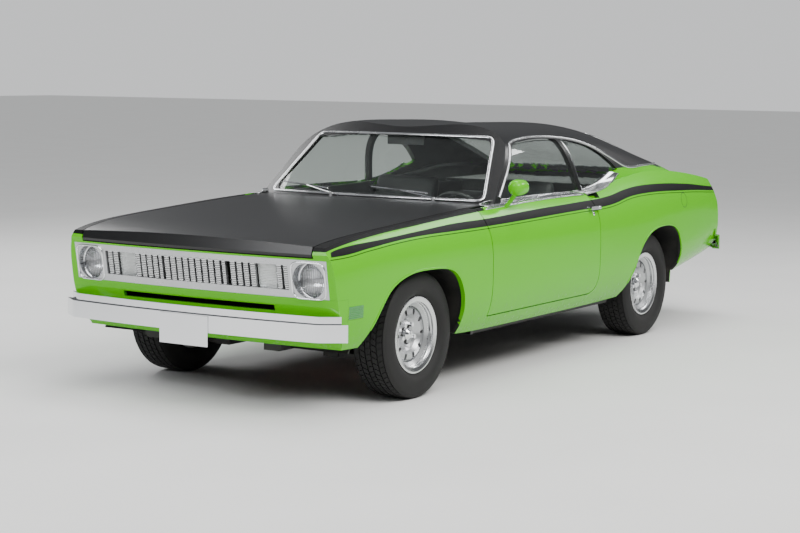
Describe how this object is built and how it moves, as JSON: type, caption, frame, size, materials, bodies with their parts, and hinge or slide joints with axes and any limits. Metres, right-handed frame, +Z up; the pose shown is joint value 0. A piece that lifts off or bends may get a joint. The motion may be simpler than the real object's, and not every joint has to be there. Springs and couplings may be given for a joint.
{
  "type": "two-door muscle car",
  "caption": "Two-door hardtop muscle car with a long hood, short deck, black stripe over green paint, and opening doors, hood and deck lid.",
  "frame": {"origin": "on the ground under the middle of the overall length and width", "axes": "+X forward, +Y to the car's left, +Z up"},
  "size_m": [4.7848, 1.8365, 1.3705],
  "materials": {
    "body_green": "gloss",
    "body_black": "gloss",
    "tinted_glass": "clear",
    "red_lens": "gloss",
    "clear_lens": "clear",
    "grille_silver": "satin",
    "bright_chrome": "polished",
    "chassis_black": "satin",
    "engine_iron": "matte",
    "pipe_steel": "satin",
    "black_vinyl": "satin",
    "black_plastic": "matte",
    "tyre_rubber": "matte",
    "wheel_silver": "satin",
    "axle_iron": "matte"
  },
  "bodies": {
    "body": {"fender_left": "body_green", "fender_right": "body_green", "quarter_left": "body_green", "quarter_right": "body_green", "roof": "body_black", "fixed_glass": "tinted_glass", "firewall_cowl": "body_black", "rear_shelf": "body_black", "front_panel": "body_green", "tail_panel": "body_green", "tail_lamps": "red_lens", "grille": "grille_silver", "front_lamps": "clear_lens", "front_bumper": "bright_chrome", "rear_bumper": "bright_chrome", "engine_bay": "chassis_black", "front_suspension": "chassis_black", "floor_pan": "chassis_black", "engine_block": "engine_iron", "exhaust": "pipe_steel", "rear_axle": "chassis_black", "front_seats": "black_vinyl", "rear_seat": "black_vinyl", "dashboard": "black_plastic", "wipers": "bright_chrome"},
    "hood": {"hood": "body_black"},
    "deck_lid": {"deck_lid": "body_green"},
    "door_left": {"door_left": "body_green", "door_glass_left": "tinted_glass", "door_fittings_left": "bright_chrome"},
    "door_right": {"door_right": "body_green", "door_glass_right": "tinted_glass", "door_fittings_right": "bright_chrome"},
    "knuckle_left": {"knuckle_left": "axle_iron"},
    "knuckle_right": {"knuckle_right": "axle_iron"},
    "steering_wheel": {"steering_wheel": "black_plastic"},
    "wheel_front_left": {"tyre_front_left": "tyre_rubber", "rim_front_left": "wheel_silver"},
    "wheel_front_right": {"tyre_front_right": "tyre_rubber", "rim_front_right": "wheel_silver"},
    "wheel_rear_left": {"tyre_rear_left": "tyre_rubber", "rim_rear_left": "wheel_silver"},
    "wheel_rear_right": {"tyre_rear_right": "tyre_rubber", "rim_rear_right": "wheel_silver"}
  },
  "joints": [
    {"name": "hood_hinge", "type": "hinge", "parent": "body", "child": "hood", "pos_m": [0.752, 0, 0.965], "axis": [0, -1, 0], "range_deg": [0, 55]},
    {"name": "deck_lid_hinge", "type": "hinge", "parent": "body", "child": "deck_lid", "pos_m": [-1.882, 0, 1.014], "axis": [0, 1, 0], "range_deg": [0, 60]},
    {"name": "door_left_hinge", "type": "hinge", "parent": "body", "child": "door_left", "pos_m": [0.836, 0.885, 0.65], "axis": [0, 0, -1], "range_deg": [0, 65]},
    {"name": "door_right_hinge", "type": "hinge", "parent": "body", "child": "door_right", "pos_m": [0.836, -0.885, 0.65], "axis": [0, 0, 1], "range_deg": [0, 65]},
    {"name": "steer_left", "type": "hinge", "parent": "body", "child": "knuckle_left", "pos_m": [1.5165, 0.655, 0.328], "axis": [0, 0, 1], "range_deg": [-32, 32]},
    {"name": "steer_right", "type": "hinge", "parent": "body", "child": "knuckle_right", "pos_m": [1.5165, -0.655, 0.328], "axis": [0, 0, 1], "range_deg": [-32, 32]},
    {"name": "steering_wheel_turn", "type": "hinge", "parent": "body", "child": "steering_wheel", "pos_m": [0.372, 0.39, 0.8], "axis": [-0.9135, 0, 0.4067], "range_deg": [-503, 503]},
    {"name": "wheel_front_left_spin", "type": "hinge", "parent": "knuckle_left", "child": "wheel_front_left", "pos_m": [1.5165, 0.729, 0.328], "axis": [0, 1, 0], "continuous": true},
    {"name": "wheel_front_right_spin", "type": "hinge", "parent": "knuckle_right", "child": "wheel_front_right", "pos_m": [1.5165, -0.729, 0.328], "axis": [0, 1, 0], "continuous": true},
    {"name": "wheel_rear_left_spin", "type": "hinge", "parent": "body", "child": "wheel_rear_left", "pos_m": [-1.2265, 0.718, 0.328], "axis": [0, 1, 0], "continuous": true},
    {"name": "wheel_rear_right_spin", "type": "hinge", "parent": "body", "child": "wheel_rear_right", "pos_m": [-1.2265, -0.718, 0.328], "axis": [0, 1, 0], "continuous": true}
  ],
  "couplings": [
    {"joint": "steer_right", "follows": "steer_left", "ratio": 1},
    {"joint": "steering_wheel_turn", "follows": "steer_left", "ratio": 15.7}
  ]
}
